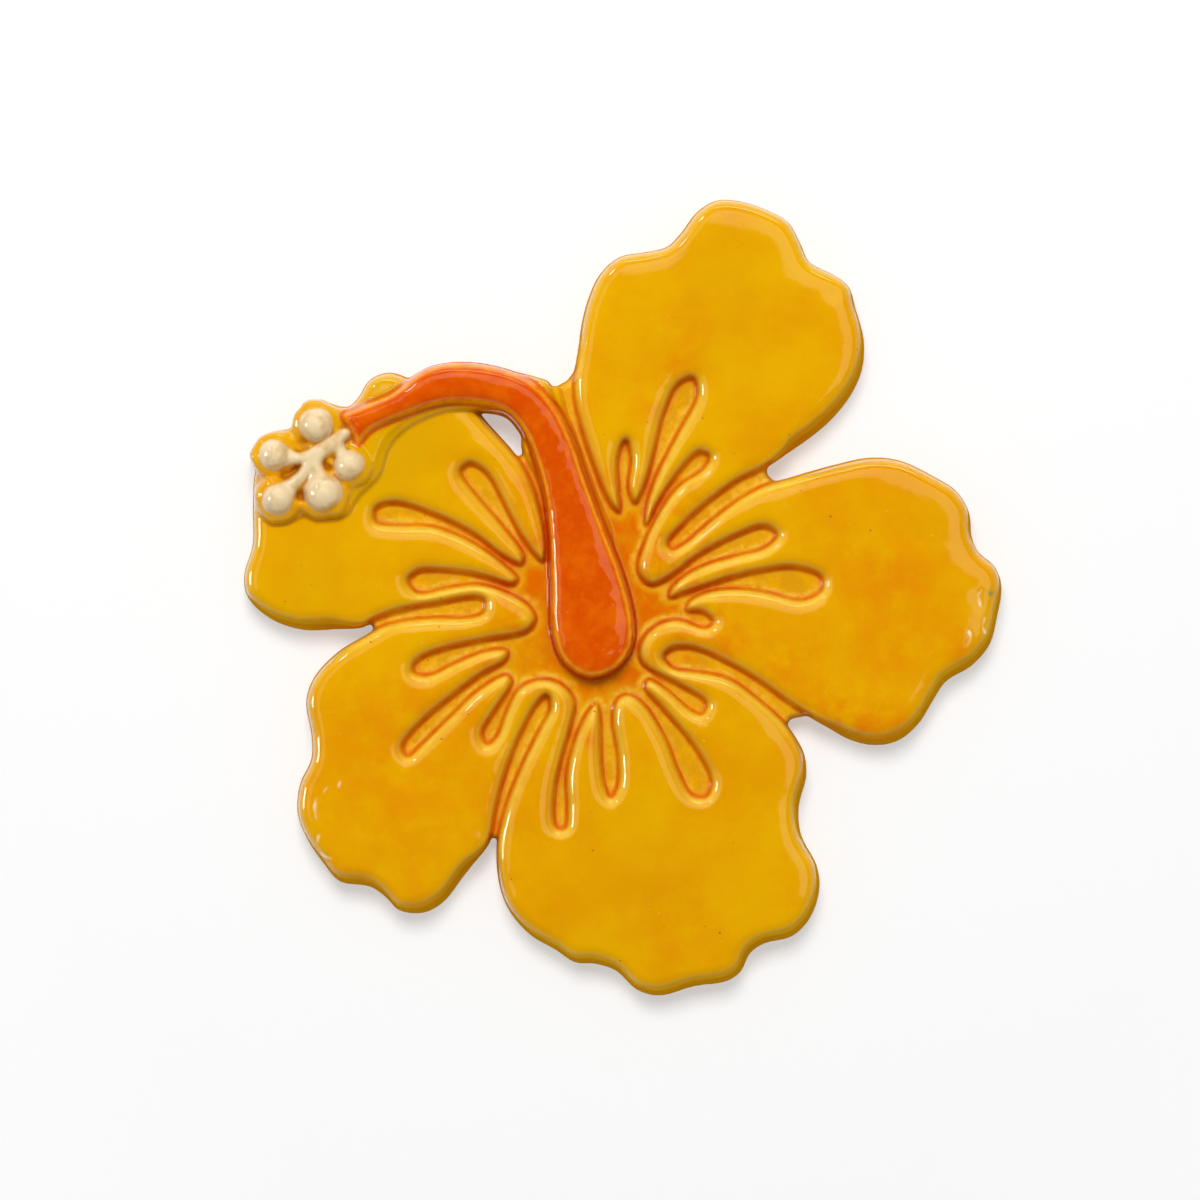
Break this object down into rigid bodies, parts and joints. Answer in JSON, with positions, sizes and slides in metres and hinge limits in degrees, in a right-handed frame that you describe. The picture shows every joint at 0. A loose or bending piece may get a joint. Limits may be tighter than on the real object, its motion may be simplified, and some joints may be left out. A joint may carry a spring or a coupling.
{
  "type": "ceramic hibiscus flower plaque",
  "caption": "Glazed clay hibiscus relief with ruffled petals, grooves round a sunken middle, and a long curved pistil that ends in round beads; lies flat on its back.",
  "frame": {"origin": "on the flat back, below the middle of the outer box", "axes": "+Z out of the flat back towards the viewer, +Y towards the top petal, +X towards the right petal"},
  "size_m": [0.1428, 0.15, 0.0144],
  "materials": {
    "glazed_ceramic": "glossy transparent glaze over fired clay: amber petals, orange pistil, ivory beads"
  },
  "bodies": {
    "root": {"ceramic_hibiscus": "glazed_ceramic"}
  },
  "joints": []
}
